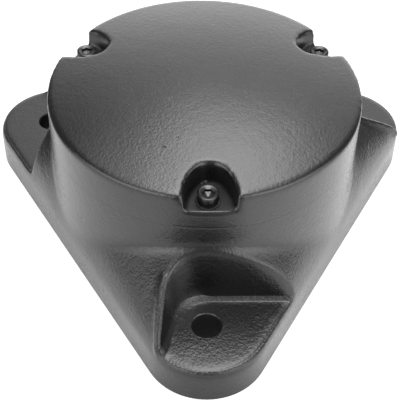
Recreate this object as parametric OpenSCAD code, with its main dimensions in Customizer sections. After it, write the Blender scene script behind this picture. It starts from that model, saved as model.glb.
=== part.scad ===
// Flanged bearing housing with a closed domed end.
// Three-cornered cast flange, rear cover, self-aligning roller bearing on an adapter sleeve.
// Millimetres. The shaft axis is Z, the mounting face is z = 0 and the dome points up.

/* [Mounting flange] */
// Distance from the shaft axis to the centre of each rounded corner
corner_dist = 98.6; // [94:0.2:110]
// Radius of each corner in plan
corner_r = 31.8; // [28:0.2:34]
// Height of the upright side wall before it rolls over
wall_h = 12; // [9:0.5:14]
// Height of the rolled lobes against their half width
crest_ratio = 0.85; // [0.75:0.01:0.95]
// Thickness of the flange under a bolt head
pad_h = 20.6; // [16:0.2:24]
// Pitch circle of the three mounting bolts
bolt_circle_d = 203; // [196:1:212]
// Clearance hole for a mounting bolt
bolt_hole_d = 14.5; // [11:0.5:17.5]

/* [Bolt head pockets] */
// Gap between the barrel and the foot of a pocket's back wall
pocket_gap = 3.2; // [2.8:0.1:6]
// Distance from the bolt axis to the foot of the side wall
pocket_side = 18.4; // [15:0.2:20]
// Angle at which the side wall runs outwards
pocket_splay = 10; // [4:1:15]
// Draft angle of the pocket walls
pocket_draft = 5; // [2:1:5]
// Radius of the pocket's inner corner
pocket_r = 12; // [8:1:16]

/* [Barrel] */
// Outside diameter of the round barrel
barrel_d = 160; // [156:1:170]
// Height of the dome above the rim
dome_rise = 8.5; // [5:0.5:12]
// Rounding of the rim
rim_r = 2.5; // [1.5:0.5:5]
// Metal over the hollow at the crown
crown_wall = 8.7; // [7:0.1:12]

/* [Cover screws] */
// Pitch circle of the three cover screws
screw_circle_d = 145; // [142:0.5:147]
// Thread diameter
screw_d = 6; // [5:1:8]
// Depth of a screw pocket below the rim
screw_pocket_depth = 9.2; // [8.2:0.2:10]
// Depth of the turned washer seat below the floor of the pocket
spot_depth = 1.4; // [0.8:0.1:2]
// Width of a screw pocket
screw_pocket_w = 26.4; // [22:0.2:27]
// Thread held in the cover
thread_hold = 9.4; // [7:0.2:12]

/* [Bearing] */
// Outside diameter of the bearing and of its seat
bearing_d = 120; // [119:0.5:121]
// Width of the bearing
bearing_w = 31; // [30.6:0.1:34]
// Wall of the outer ring at its middle
outer_wall = 4.8; // [4.4:0.1:5]
// Wall of the inner ring between its bore and the rollers
inner_wall = 8.3; // [7.8:0.1:9]
// Width that a roller leaves free in its half of the bearing
row_margin = 4.5; // [4.5:0.1:5.5]
// Gap between two rollers
roller_gap = 2; // [1.8:0.1:4]
// Tilt of the roller axes
contact_angle = 10; // [9.5:0.5:10.5]
// Width of each locating ring
locating_w = 10; // [9:0.5:12]
// Opening in a locating ring
locating_gap = 40; // [20:5:60]

/* [Adapter sleeve] */
// Shaft and sleeve bore diameter
shaft_d = 60; // [56:1:60]
// Wall of the sleeve at its thread
sleeve_wall = 2.5; // [2.3:0.1:3]
// Length of the sleeve
sleeve_len = 65; // [62:0.5:66]
// Width of the slit
sleeve_slit = 5; // [4.6:0.2:6]
// Wall of the lock nut around its thread
nut_wall = 10; // [9:0.5:11.5]
// Width of the lock nut
nut_w = 14; // [12:0.5:15]
// Thickness of the lock washer
lock_washer_t = 1.5; // [1:0.1:2]

/* [Rear cover] */
// Width of the cover's flat rim around the seat
cover_rim = 6; // [5:0.5:7]
// Wall of the cover's hub around the shaft hole
hub_wall = 13; // [12:0.5:14]
// Wall of the spigot that holds the locating ring
spigot_wall = 7.8; // [4:0.2:9]
// Thickness of the cover's rim
cover_t = 17; // [15:0.5:18]
// How far the cover lies inside the mounting face
cover_inset = 1; // [0.5:0.1:2]
// Length of the spigot that holds the locating ring
spigot_h = 3; // [2:0.5:4]
// Radius of each screw lug
lug_r = 9; // [8:0.2:9.4]

/* [Clearances] */
// Cover in its recess, each side
cover_clear = 0.3; // [0.2:0.05:0.5]
// Bearing and locating rings in the seat, radial
seat_clear = 0.05; // [0.02:0.01:0.1]
// Rollers to the rings
roller_clear = 0.15; // [0.1:0.01:0.2]
// Shaft hole in the cover, radial
shaft_clear = 1.2; // [0.8:0.1:1.5]

/* [Hidden] */
$fn = 120;
far = 400;
corners = [-90, 30, 150];
barrel_r = barrel_d / 2;
side_r = corner_r - 0.02;
lobe_r = corner_r - 0.06;
lobe_apex = corner_dist + 2 * lobe_r;
lobe_start = 30;
crest_z = wall_h + crest_ratio * (lobe_apex - barrel_r) * tan(30);
bolt_r = bolt_circle_d / 2;
screw_r = screw_circle_d / 2;
seat_r = bearing_d / 2 + seat_clear;
cover_r = bearing_d / 2 + cover_rim;
bearing_bore = shaft_d + 2 * sleeve_wall;
nut_d = bearing_bore + 2 * nut_wall;
washer_tooth = 3.5;
hollow_r = nut_d / 2 + washer_tooth + 4;

// Heights along the shaft axis, from the mounting face up
recess_z = cover_inset + cover_t;
spigot_z = recess_z + spigot_h;
brg_z0 = spigot_z + locating_w;
brg_zc = brg_z0 + bearing_w / 2;
brg_z1 = brg_z0 + bearing_w;
seat_z = brg_z1 + locating_w;
nut_z0 = brg_z1 + lock_washer_t;
nut_z1 = nut_z0 + nut_w;
sleeve_z1 = nut_z1 + 3;
sleeve_z0 = sleeve_z1 - sleeve_len;
hollow_z = sleeve_z1 + 5.5;
apex_z = hollow_z + crown_wall;
rim_z = apex_z - dome_rise;

// Dome sphere and rim rounding
dome_r = (barrel_r * barrel_r + dome_rise * dome_rise) / (2 * dome_rise);
dome_z = apex_z - dome_r;
rim_cr = barrel_r - rim_r;
rim_cz = dome_z + sqrt(pow(dome_r - rim_r, 2) - pow(rim_cr, 2));
rim_tr = rim_cr * dome_r / (dome_r - rim_r);

// Cover screws
screw_hole_r = screw_d / 2 + 0.3;
screw_head_r = screw_d * 5 / 6;
washer_t = screw_d * 0.26;
screw_floor = rim_z - screw_pocket_depth;
spot_r = screw_head_r + 1.5;
spot_z = screw_floor - spot_depth;
screw_seat = spot_z + washer_t;
screw_tip = recess_z - thread_hold;

// Bolt head pocket in the frame of the front corner, which points to -Y
pocket_back = barrel_r + pocket_gap;
pocket_cy = -(pocket_back + pocket_r);
pocket_cx = -pocket_side + (pocket_r + (pocket_cy + bolt_r) * sin(pocket_splay)) / cos(pocket_splay);
pocket_rise = crest_z - pad_h + 4;
pocket_run = (200 - bolt_r) / cos(pocket_splay);

// Rear cover
shaft_hole_r = shaft_d / 2 + shaft_clear;
hub_r = shaft_hole_r + hub_wall;
cup_r = hub_r + spigot_wall;
dish_r = cup_r + 4;
hub_z = sleeve_z0 - 2;
web_z = hub_z - 0.5;
seal_r = shaft_d / 2 + 9.7;
seal_z0 = cover_inset + 2.8;
seal_z1 = hub_z - 2.6;
ring_groove_r = seat_r + (cover_r - seat_r) / 2;
ring_section = 2;

// Bearing
race_r = bearing_d / 2 - outer_wall;
roller_d = (bearing_d - bearing_bore) / 2 - outer_wall - inner_wall;
roller_len = bearing_w / 2 - row_margin;
roller_r = roller_d / 2;
roller_dist = race_r - roller_r - roller_clear;
roller_m = roller_dist * cos(contact_angle);
roller_count = floor(2 * PI * roller_m / (roller_d + roller_gap));
roller_z = roller_dist * sin(contact_angle);
roller_curve = race_r - 1.2;
inner_curve = race_r - 0.7;
inner_curve_dist = roller_dist - roller_r - roller_clear + inner_curve;
inner_max_r = roller_dist - roller_r + 0.35;
cage_off = roller_r * 0.42;
cage_t = 1.6;
cage_clear = 0.25;
cage_half = roller_len / 2 + cage_clear + 0.85;
sleeve_small_r = bearing_bore / 2;
taper = 1 / 24;
sleeve_big_r = sleeve_small_r + (brg_z1 - sleeve_z0) * taper;

// Lubrication
plug_r = 4.9;
plug_len = 9;

iron = "#3a3b3d";
steel = "#b9bcc0";
dark_steel = "#2a2a2c";
rubber = "#1d1d1f";
brass = "#b08d3e";

// Point of the roller's own frame, along its axis and outwards from it, as radius and height
function at_roller(along, out) = [
  roller_m + out * cos(contact_angle) - along * sin(contact_angle),
  roller_z + out * sin(contact_angle) + along * cos(contact_angle)
];

// Plan of the whole flange: three sides and three round corners
module flange_plan() {
  polygon([
    for (a = corners, k = [-60, 60])
      [corner_dist * cos(a) + side_r * cos(a + k), corner_dist * sin(a) + side_r * sin(a + k)]
  ]);
  for (a = corners) {
    rotate(a) translate([corner_dist, 0]) circle(corner_r);
  }
}

// Rolled upper part of one corner with its bolt head pocket, in the frame of the front corner:
// a flattened cone that touches both side walls, ending in a round tip of the corner's radius
module lobe() {
  difference() {
    intersection() {
      translate([0, 0, wall_h]) scale([1, 1, crest_ratio]) hull() {
        translate([0, -corner_dist, 0]) sphere(lobe_r, $fn = 48);
        rotate([90, 0, 0]) translate([0, 0, lobe_start]) {
          cylinder(h = 0.1, r = (lobe_apex - lobe_start) * tan(30), $fn = 96);
        }
      }
      translate([0, 0, wall_h - 1]) linear_extrude(far) polygon([
        [0, 0.6], [far * cos(210), far * sin(210) + 0.6], [far * cos(330), far * sin(330) + 0.6]
      ]);
    }
    bolt_pocket();
  }
}

// Plan of a bolt head pocket at its floor: back wall, round inner corner, splayed side wall
module pocket_plan() {
  translate([pocket_cx, pocket_cy]) circle(pocket_r);
  polygon([
    [pocket_cx, -pocket_back], [110, -pocket_back], [110, -200],
    [-pocket_side - pocket_run * sin(pocket_splay), -bolt_r - pocket_run * cos(pocket_splay)],
    [pocket_cx - pocket_r * cos(pocket_splay), pocket_cy + pocket_r * sin(pocket_splay)],
    [pocket_cx, pocket_cy]
  ]);
}

// Room over a bolt pad, leaning back and sideways by the draft
module bolt_pocket() {
  translate([0, 0, pad_h]) intersection() {
    rotate([-pocket_draft, -pocket_draft, 0]) translate([0, 0, -30]) linear_extrude(90) pocket_plan();
    translate([-150, -250, 0]) cube([300, 250, pocket_rise]);
  }
}

// Slot in the rim around one cover screw, open outwards
module screw_pocket() {
  translate([screw_r, 0, screw_floor]) {
    cylinder(h = 40, d = screw_pocket_w);
    translate([0, 0, -spot_depth]) cylinder(h = 5, r = spot_r);
    translate([0, -screw_pocket_w / 2, 0]) cube([40, screw_pocket_w, 40]);
  }
}

module barrel() {
  rotate_extrude() {
    square([barrel_r, rim_cz]);
    intersection() {
      translate([0, dome_z]) circle(dome_r);
      translate([0, rim_cz - 1]) square([rim_tr, far]);
    }
    intersection() {
      translate([rim_cr, rim_cz]) circle(rim_r);
      translate([rim_cr, rim_cz - 1]) square([rim_r, rim_r + 2]);
    }
  }
}

// Plan of the rear cover and, with a clearance, of its recess
module cover_plan(clear) {
  circle(cover_r + clear);
  for (a = corners) {
    rotate(a) {
      translate([screw_r, 0]) circle(lug_r + clear);
      translate([0, -lug_r - clear]) square([screw_r, 2 * (lug_r + clear)]);
    }
  }
}

module seat_profile() {
  polygon([
    [0, -1], [seat_r, -1], [seat_r, seat_z], [hollow_r, seat_z], [hollow_r, hollow_z - 7],
    [hollow_r - 9, hollow_z], [0, hollow_z]
  ]);
}

module housing_body() {
  color(iron) difference() {
    union() {
      linear_extrude(wall_h) flange_plan();
      for (a = corners) {
        rotate([0, 0, a + 90]) lobe();
      }
      barrel();
    }
    rotate_extrude() seat_profile();
    translate([0, 0, -1]) linear_extrude(recess_z + 1) cover_plan(cover_clear);
    for (a = corners) {
      rotate([0, 0, a]) {
        translate([bolt_r, 0, -1]) cylinder(h = pad_h + 2, d = bolt_hole_d);
        translate([screw_r, 0, 1]) cylinder(h = screw_floor, r = screw_hole_r);
        screw_pocket();
      }
    }
    translate([0, 0, brg_zc]) rotate([-90, 0, 0]) {
      cylinder(h = barrel_r + 5, r = 2.5);
      translate([0, 0, barrel_r - plug_len - 2]) cylinder(h = plug_len + 7, r = plug_r + 0.05);
    }
  }
}

module rear_cover() {
  color(iron) difference() {
    union() {
      translate([0, 0, cover_inset]) linear_extrude(cover_t) cover_plan(0);
      translate([0, 0, recess_z - 1]) cylinder(h = spigot_h + 1, r = seat_r - 0.15);
    }
    // Hollow on the bearing's side, hub, dish on the outside and seal groove
    rotate_extrude() polygon([
      [0, hub_z], [hub_r - 1, hub_z], [hub_r, web_z], [cup_r - 3, web_z],
      [cup_r, web_z + 3], [cup_r, spigot_z + 1], [0, spigot_z + 1]
    ]);
    rotate_extrude() polygon([
      [hub_r + 1, cover_inset - 1], [dish_r, cover_inset - 1], [dish_r - 2, cover_inset + 4],
      [hub_r + 3, cover_inset + 4]
    ]);
    translate([0, 0, -1]) cylinder(h = far, r = shaft_hole_r);
    rotate_extrude() polygon([
      [shaft_hole_r - 1, seal_z0 - 0.6], [seal_r + 0.15, seal_z0 - 0.15],
      [seal_r + 0.15, seal_z1 + 0.15], [shaft_hole_r - 1, seal_z1 + 0.6]
    ]);
    // Face groove for the O-ring
    rotate_extrude() translate([ring_groove_r - 1.15, recess_z - ring_section]) square([2.3, 5]);
    for (a = corners) {
      rotate([0, 0, a]) translate([screw_r, 0, -1]) cylinder(h = far, r = screw_d / 2 + 0.05);
    }
  }
}

module cover_o_ring() {
  color(rubber) translate([0, 0, recess_z - ring_section / 2]) rotate_extrude() {
    translate([ring_groove_r, 0]) circle(ring_section / 2 - 0.02);
  }
}

// Two lips on a common back
module shaft_seal() {
  lip_r = shaft_d / 2 + 0.12;
  mid = (seal_z0 + seal_z1) / 2;
  color(rubber) rotate_extrude() polygon([
    [seal_r, seal_z0], [seal_r, seal_z1], [shaft_hole_r + 2, seal_z1 + 0.1],
    [lip_r + 1, seal_z1 - 0.2], [lip_r, seal_z1 - 0.9], [lip_r + 0.4, seal_z1 - 1.4],
    [shaft_hole_r + 2.6, seal_z1 - 2], [shaft_hole_r + 2.6, seal_z0 + 2],
    [lip_r + 0.4, seal_z0 + 1.4], [lip_r, seal_z0 + 0.9], [lip_r + 1, seal_z0 + 0.2],
    [shaft_hole_r + 2, seal_z0 - 0.1]
  ]);
}

module cap_screw() {
  head_h = screw_d;
  difference() {
    union() {
      translate([0, 0, screw_tip]) cylinder(h = screw_seat - screw_tip + 0.5, r = screw_d / 2);
      translate([0, 0, screw_seat]) rotate_extrude() polygon([
        [0, 0], [screw_head_r - 0.3, 0], [screw_head_r, 0.3], [screw_head_r, head_h - 0.7],
        [screw_head_r - 0.7, head_h], [0, head_h]
      ]);
    }
    translate([0, 0, screw_seat + head_h / 2]) {
      cylinder(h = head_h, r = screw_d * 5 / 12 / cos(30), $fn = 6);
    }
    translate([0, 0, screw_seat + head_h / 2 - 1.2]) cylinder(h = 1.25, r1 = 0.1, r2 = screw_d * 0.38);
  }
}

module cover_screws() {
  color(dark_steel) for (a = corners) {
    rotate([0, 0, a]) translate([screw_r, 0, 0]) cap_screw();
  }
}

// Spring washer, cut across on one side
module screw_washers() {
  color(dark_steel) for (a = corners) {
    rotate([0, 0, a]) translate([screw_r, 0, spot_z]) difference() {
      cylinder(h = washer_t, r = screw_head_r + 0.6);
      translate([0, 0, -1]) cylinder(h = washer_t + 2, r = screw_hole_r);
      rotate([0, 0, 200]) rotate([25, 0, 0]) translate([0, -0.3, -3]) cube([screw_d * 2, 0.6, 8]);
    }
  }
}

module grease_plug() {
  color(brass) translate([0, 0, brg_zc]) rotate([-90, 0, 0]) {
    translate([0, 0, barrel_r - plug_len - 1]) difference() {
      rotate_extrude() polygon([
        [0, 0], [plug_r - 1, 0], [plug_r, 1], [plug_r, plug_len - 0.6],
        [plug_r - 0.6, plug_len], [0, plug_len]
      ]);
      translate([0, 0, plug_len - 4.5]) cylinder(h = 6, r = 2.5 / cos(30), $fn = 6);
    }
  }
}

// Open ring beside the bearing
module locating_ring(z0, turn) {
  color(steel) translate([0, 0, z0]) rotate([0, 0, turn + locating_gap / 2]) {
    rotate_extrude(angle = 360 - locating_gap) {
      translate([bearing_d / 2 - 6.8, 0]) square([6.7, locating_w]);
    }
  }
}

module front_locating_ring() {
  locating_ring(brg_z1, 45);
}

module rear_locating_ring() {
  locating_ring(spigot_z, 135);
}

// Sphered raceway inside, lubrication groove with three holes outside
module outer_ring() {
  color(steel) translate([0, 0, brg_zc]) difference() {
    rotate_extrude() difference() {
      union() {
        translate([race_r - 4, 1 - bearing_w / 2]) square([bearing_d / 2 - race_r + 4, bearing_w - 2]);
        translate([race_r - 4, -bearing_w / 2]) square([bearing_d / 2 - race_r + 3, bearing_w]);
      }
      circle(race_r, $fn = 360);
      translate([bearing_d / 2 - 0.7, -2.75]) square([2, 5.5]);
    }
    for (a = [90, 210, 330]) {
      rotate([0, 0, a]) rotate([0, 90, 0]) cylinder(h = bearing_d, r = 1.5);
    }
  }
}

// Two raceways with end flanges, tapered bore
module inner_ring() {
  color(steel) translate([0, 0, brg_zc]) rotate_extrude() difference() {
    polygon([
      [sleeve_small_r + bearing_w * taper + 0.02, -bearing_w / 2],
      [inner_max_r - 0.8, -bearing_w / 2], [inner_max_r, 0.8 - bearing_w / 2],
      [inner_max_r, bearing_w / 2 - 0.8], [inner_max_r - 0.8, bearing_w / 2],
      [sleeve_small_r + 0.02, bearing_w / 2]
    ]);
    for (k = [-1, 1]) {
      intersection() {
        translate([inner_curve_dist * cos(contact_angle), k * inner_curve_dist * sin(contact_angle)]) {
          circle(inner_curve, $fn = 360);
        }
        translate([20, k > 0 ? 0 : -bearing_w / 2 + 1.6]) square([60, bearing_w / 2 - 1.6]);
      }
    }
  }
}

// Barrel roller standing on its own axis
module roller() {
  rotate_extrude($fn = 48) intersection() {
    translate([roller_r - roller_curve, 0]) circle(roller_curve, $fn = 720);
    union() {
      translate([0, -roller_len / 2]) square([roller_r - 0.9, roller_len]);
      translate([0, 0.5 - roller_len / 2]) square([roller_r, roller_len - 1]);
    }
  }
}

// Moves a piece from the roller's own frame to its place in the upper row
module on_row(i, turn) {
  rotate([0, 0, 360 / roller_count * i + turn]) translate([roller_m, 0, roller_z]) {
    rotate([0, -contact_angle, 0]) children();
  }
}

module roller_row(turn) {
  for (i = [0 : roller_count - 1]) {
    on_row(i, turn) roller();
  }
}

module front_rollers() {
  color(steel) translate([0, 0, brg_zc]) roller_row(0);
}

module rear_rollers() {
  color(steel) translate([0, 0, brg_zc]) mirror([0, 0, 1]) roller_row(180 / roller_count);
}

// Window cage around one row, with a flange over the rollers' outer ends
module cage(turn) {
  top = cage_off + cage_t;
  difference() {
    rotate_extrude() polygon([
      at_roller(-cage_half, cage_off), at_roller(-cage_half, top), at_roller(cage_half, top),
      at_roller(cage_half, -1.5), at_roller(cage_half - 0.8, -1.5), at_roller(cage_half - 0.8, cage_off)
    ]);
    for (i = [0 : roller_count - 1]) {
      on_row(i, turn) {
        cylinder(h = roller_len + 2 * cage_clear, r = roller_r + cage_clear, center = true, $fn = 64);
      }
    }
  }
}

module front_cage() {
  color(brass) translate([0, 0, brg_zc]) cage(0);
}

module rear_cage() {
  color(brass) translate([0, 0, brg_zc]) mirror([0, 0, 1]) cage(180 / roller_count);
}

// Floating ring between the two rows, with sides along the roller ends
module guide_ring() {
  low = inner_max_r + 0.15;
  high = at_roller(-roller_len / 2, 0)[0];
  half_low = at_roller(-roller_len / 2, 0)[1] - (high - low) * tan(contact_angle) - 0.18;
  half_high = at_roller(-roller_len / 2, 0)[1] - 0.18;
  color(steel) translate([0, 0, brg_zc]) rotate_extrude() polygon([
    [low, -half_low], [high, -half_high], [high, half_high], [low, half_low]
  ]);
}

// Slit sleeve: taper under the bearing, thread for the nut, plain bore for the shaft
module adapter_sleeve() {
  color(steel) difference() {
    rotate_extrude() polygon([
      [shaft_d / 2, sleeve_z0], [sleeve_big_r - 0.5, sleeve_z0], [sleeve_big_r, sleeve_z0 + 0.5],
      [sleeve_small_r, brg_z1], [sleeve_small_r, sleeve_z1 - 1], [sleeve_small_r - 1, sleeve_z1],
      [shaft_d / 2, sleeve_z1]
    ]);
    translate([0, -sleeve_slit / 2, 0]) cube([far, sleeve_slit, far]);
  }
}

// Toothed washer with one tooth bent into the nut and a tab in the sleeve's slit
module lock_washer() {
  teeth = 19;
  ring_r = nut_d / 2 - 2.6;
  tooth_r = nut_d / 2 + washer_tooth;
  color(steel) translate([0, 0, brg_z1]) {
    linear_extrude(lock_washer_t) difference() {
      union() {
        circle(ring_r);
        for (i = [1 : teeth - 1]) {
          rotate(360 / teeth * i) polygon([
            [ring_r - 1, -3.4], [tooth_r, -2.6], [tooth_r, 2.6], [ring_r - 1, 3.4]
          ]);
        }
      }
      difference() {
        circle(sleeve_small_r + 0.2);
        translate([shaft_d / 2 + 0.6, 0.4 - sleeve_slit / 2]) square([6, sleeve_slit - 0.8]);
      }
    }
    translate([ring_r - lock_washer_t, -3, 0]) cube([lock_washer_t, 6, lock_washer_t + 7]);
  }
}

// Round nut with four slots and chamfered face
module lock_nut() {
  slot_d = 4.6;
  color(dark_steel) translate([0, 0, nut_z0]) difference() {
    rotate_extrude() polygon([
      [sleeve_small_r + 0.05, 0], [nut_d / 2 - 3, 0], [nut_d / 2, 1.7], [nut_d / 2, nut_w - 0.8],
      [nut_d / 2 - 0.8, nut_w], [sleeve_small_r + 0.8, nut_w], [sleeve_small_r + 0.05, nut_w - 0.8]
    ]);
    for (a = [0, 90, 180, 270]) {
      rotate([0, 0, a]) translate([nut_d / 2 - slot_d, -4, -1]) cube([slot_d + 5, 8, nut_w + 2]);
    }
  }
}

housing_body();
rear_cover();
cover_o_ring();
shaft_seal();
cover_screws();
screw_washers();
grease_plug();
front_locating_ring();
rear_locating_ring();
outer_ring();
inner_ring();
front_rollers();
rear_rollers();
front_cage();
rear_cage();
guide_ring();
adapter_sleeve();
lock_washer();
lock_nut();
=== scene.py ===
"""Looks of the flanged bearing housing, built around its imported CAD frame."""

import logging
import math
from dataclasses import dataclass
from enum import Enum
from typing import Callable, Iterable, Sequence

import bmesh
import bpy
from mathutils import Matrix, Vector


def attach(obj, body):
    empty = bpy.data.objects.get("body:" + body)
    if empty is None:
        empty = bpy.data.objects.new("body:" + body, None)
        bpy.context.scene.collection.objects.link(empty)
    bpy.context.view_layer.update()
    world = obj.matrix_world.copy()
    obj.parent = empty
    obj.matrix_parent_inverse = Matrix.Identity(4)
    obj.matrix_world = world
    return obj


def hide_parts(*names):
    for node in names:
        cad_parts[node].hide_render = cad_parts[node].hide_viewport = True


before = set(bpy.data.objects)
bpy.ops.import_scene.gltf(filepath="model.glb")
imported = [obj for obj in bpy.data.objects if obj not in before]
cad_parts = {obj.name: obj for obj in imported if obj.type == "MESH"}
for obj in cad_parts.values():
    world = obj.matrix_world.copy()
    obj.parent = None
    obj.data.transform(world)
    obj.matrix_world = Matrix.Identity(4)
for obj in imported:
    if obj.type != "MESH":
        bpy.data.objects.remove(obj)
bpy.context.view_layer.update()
LOG = logging.getLogger("bearing_housing")
MM = 0.001
# Directions of the flange's corners, how far their rounding turns to each side, and half their angle
CORNERS = (-90.0, 30.0, 150.0)
CORNER_TURN = 60.0
HALF_CORNER = math.radians(30)
# Metres within which points merge or count as lying on a cutting plane
MERGE = 1e-6
ON_PLANE = 1e-7
# Number of flats that round off the floor of a core
FILLET_STEPS = 5
# Range that most of a noise pattern lies in
PATTERN = (0.3, 0.7)
Colour = tuple[float, float, float]
Point = tuple[float, float]
Outline = Sequence[Point]
Socket = bpy.types.NodeSocket


class Body(Enum):
    """Body of the motion model that the new pieces ride on."""

    HOUSING = "housing"


class Effect(Enum):
    """Shader groups that several finishes share."""

    CAST_SKIN = "cast_skin"
    TURNING = "turning_marks"
    HANDLING = "handling_marks"


class Face(Enum):
    """Which of the casting's finishes a face gets."""

    PAINT = 0
    BARE = 1
    HOLE = 2


class NodeBench:
    """Adds and joins the nodes of one shader tree."""

    def __init__(self, tree: bpy.types.NodeTree) -> None:
        """Keep the tree that the nodes go into."""
        self.tree = tree

    def add(self, kind: str, inputs: dict | None = None, **settings: object) -> bpy.types.Node:
        """Add one node.

        Args:
            kind: Blender's type name of the node.
            inputs: Socket name or number, and the value or socket it gets.
            settings: Properties of the node itself.

        Returns:
            The new node.
        """
        node = self.tree.nodes.new(kind)
        for key, value in settings.items():
            setattr(node, key, value)
        for key, value in (inputs or {}).items():
            self.feed(value, node.inputs[key])
        return node

    def feed(self, value: object, *ends: Socket) -> None:
        """Give inputs a value, or link a socket to them.

        Args:
            value: A socket, a number or a tuple of numbers.
            ends: The inputs.
        """
        for end in ends:
            if isinstance(value, bpy.types.NodeSocket):
                self.tree.links.new(value, end)
            else:
                end.default_value = value

    def place(self) -> Socket:
        """Give the point's place in the object's own frame."""
        return self.add("ShaderNodeTexCoord").outputs["Object"]

    def gap(self, place: Socket, spot: Sequence[float]) -> Socket:
        """Give a point's distance from a spot in millimetres."""
        there = tuple(axis * MM for axis in spot)
        return self.add("ShaderNodeVectorMath", {0: place, 1: there}, operation="DISTANCE").outputs["Value"]

    def maths(self, what: str, first: object, second: object = 0.0) -> Socket:
        """Give the result of a maths node on two sockets or numbers."""
        return self.add("ShaderNodeMath", {0: first, 1: second}, operation=what).outputs[0]

    def span(self, value: Socket, low: float, high: float, start: float = 0.0, end: float = 1.0) -> Socket:
        """Spread a value from one range over another.

        Args:
            value: The socket to read.
            low: Result at start.
            high: Result at end.
            start: Lowest value read.
            end: Highest value read.

        Returns:
            The result's socket.
        """
        return self.add("ShaderNodeMapRange", {0: value, 1: start, 2: end, 3: low, 4: high}).outputs[0]

    def noise(self, place: Socket, scale: object, detail: float = 2.0, rough: float = 0.5) -> Socket:
        """Add a noise pattern.

        Args:
            place: Where it is read.
            scale: Number of waves per metre, or a socket.
            detail: Layers of finer noise.
            rough: Weight of the finer layers.

        Returns:
            The value's socket.
        """
        values = {"Vector": place, "Scale": scale, "Detail": detail, "Roughness": rough}
        return self.add("ShaderNodeTexNoise", values).outputs[0]

    def blend(self, mask: Socket, first: Colour, second: Colour) -> Socket:
        """Blend two colours by a mask.

        Args:
            mask: Share of the second colour.
            first: Colour where the mask is nought.
            second: Colour where it is one.

        Returns:
            The colour's socket.
        """
        node = self.add("ShaderNodeMix", data_type="RGBA")
        for number, value in ((0, mask), (6, (*first, 1.0)), (7, (*second, 1.0))):
            self.feed(value, node.inputs[number])
        return node.outputs[2]

    def effect(self, effect: Effect, **values: float) -> bpy.types.Node:
        """Place a shared effect in this tree.

        Args:
            effect: Which effect.
            values: Values of the group's inputs.

        Returns:
            The group node.
        """
        tree = bpy.data.node_groups.get(effect.value) or GROUPS[effect]()
        node = self.add("ShaderNodeGroup", node_tree=tree)
        for key, value in values.items():
            self.feed(value, node.inputs[key])
        return node

    def relief(self, shader: bpy.types.Node, height: Socket, depth: float, ends: Iterable[str]) -> None:
        """Feed a height to the shader's normals.

        Args:
            shader: The Principled shader.
            height: The height's socket.
            depth: Metres that a height of one stands for.
            ends: Names of the shader's normal inputs.
        """
        bump = self.add("ShaderNodeBump", {"Strength": 1.0, "Distance": depth, "Height": height})
        for end in ends:
            self.feed(bump.outputs[0], shader.inputs[end])


def open_group(effect: Effect, inputs: dict[str, float], outputs: Iterable[str]) -> NodeBench:
    """Start a shader group with named sockets.

    Args:
        effect: Which group it is.
        inputs: Input names with their usual values.
        outputs: Output names.

    Returns:
        A bench on the new tree, whose first two nodes are named start and end.
    """
    tree = bpy.data.node_groups.new(effect.value, "ShaderNodeTree")
    for name, value in inputs.items():
        socket = tree.interface.new_socket(name, in_out="INPUT", socket_type="NodeSocketFloat")
        socket.default_value = value
    for name in outputs:
        tree.interface.new_socket(name, in_out="OUTPUT", socket_type="NodeSocketFloat")
    bench = NodeBench(tree)
    bench.add("NodeGroupInput", name="start")
    bench.add("NodeGroupOutput", name="end")
    return bench


def cast_skin() -> bpy.types.NodeTree:
    """Build the pebbled skin of a sand casting under paint.

    Returns:
        The group: relief height, slow mottling and small pits.
    """
    bench = open_group(Effect.CAST_SKIN, {"Grain": 900.0, "Coarse": 0.5}, ("Height", "Mottle", "Pits"))
    start, end = bench.tree.nodes["start"], bench.tree.nodes["end"]
    place = bench.place()
    lump_scale = 0.42
    swell_height = 0.9
    pit_limit = 0.62
    fine = bench.noise(place, start.outputs["Grain"], detail=3.0, rough=0.55)
    broad = bench.maths("MULTIPLY", start.outputs["Grain"], lump_scale)
    lumps = bench.noise(place, broad, detail=1.0, rough=0.4)
    swell = bench.maths("MULTIPLY", bench.noise(place, scale=75.0, detail=1.0, rough=0.4), swell_height)
    body = bench.maths("MULTIPLY", lumps, start.outputs["Coarse"])
    bench.feed(bench.maths("ADD", bench.maths("ADD", fine, body), swell), end.inputs["Height"])
    bench.feed(bench.noise(place, scale=38.0, detail=3.0, rough=0.6), end.inputs["Mottle"])
    cells = bench.add("ShaderNodeTexVoronoi", {"Vector": place, "Scale": 62.0, "Randomness": 1.0})
    pit = bench.span(cells.outputs["Distance"], low=1.0, high=0.0, start=0.02, end=0.05)
    rare = bench.maths("GREATER_THAN", bench.noise(place, scale=21.0, detail=0.0), pit_limit)
    bench.feed(bench.maths("MULTIPLY", pit, rare), end.inputs["Pits"])
    return bench.tree


def turning_marks() -> bpy.types.NodeTree:
    """Build the rings that a lathe leaves around the shaft axis.

    Returns:
        The group: height of the rings and their slow change of shade.
    """
    bench = open_group(Effect.TURNING, {"Pitch": 2600.0}, ("Height", "Shade"))
    start, end = bench.tree.nodes["start"], bench.tree.nodes["end"]
    place = bench.place()
    axes = bench.add("ShaderNodeSeparateXYZ", {0: place})
    square = bench.maths("ADD", bench.maths("POWER", axes.outputs[0], 2.0),
                         bench.maths("POWER", axes.outputs[1], 2.0))
    rings = bench.add("ShaderNodeCombineXYZ", {0: bench.maths("SQRT", square), 1: axes.outputs[2]})
    ridges = bench.noise(rings.outputs[0], start.outputs["Pitch"], detail=2.0, rough=0.6)
    bench.feed(ridges, end.inputs["Height"])
    bench.feed(bench.noise(place, scale=60.0, detail=3.0, rough=0.6), end.inputs["Shade"])
    return bench.tree


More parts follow.
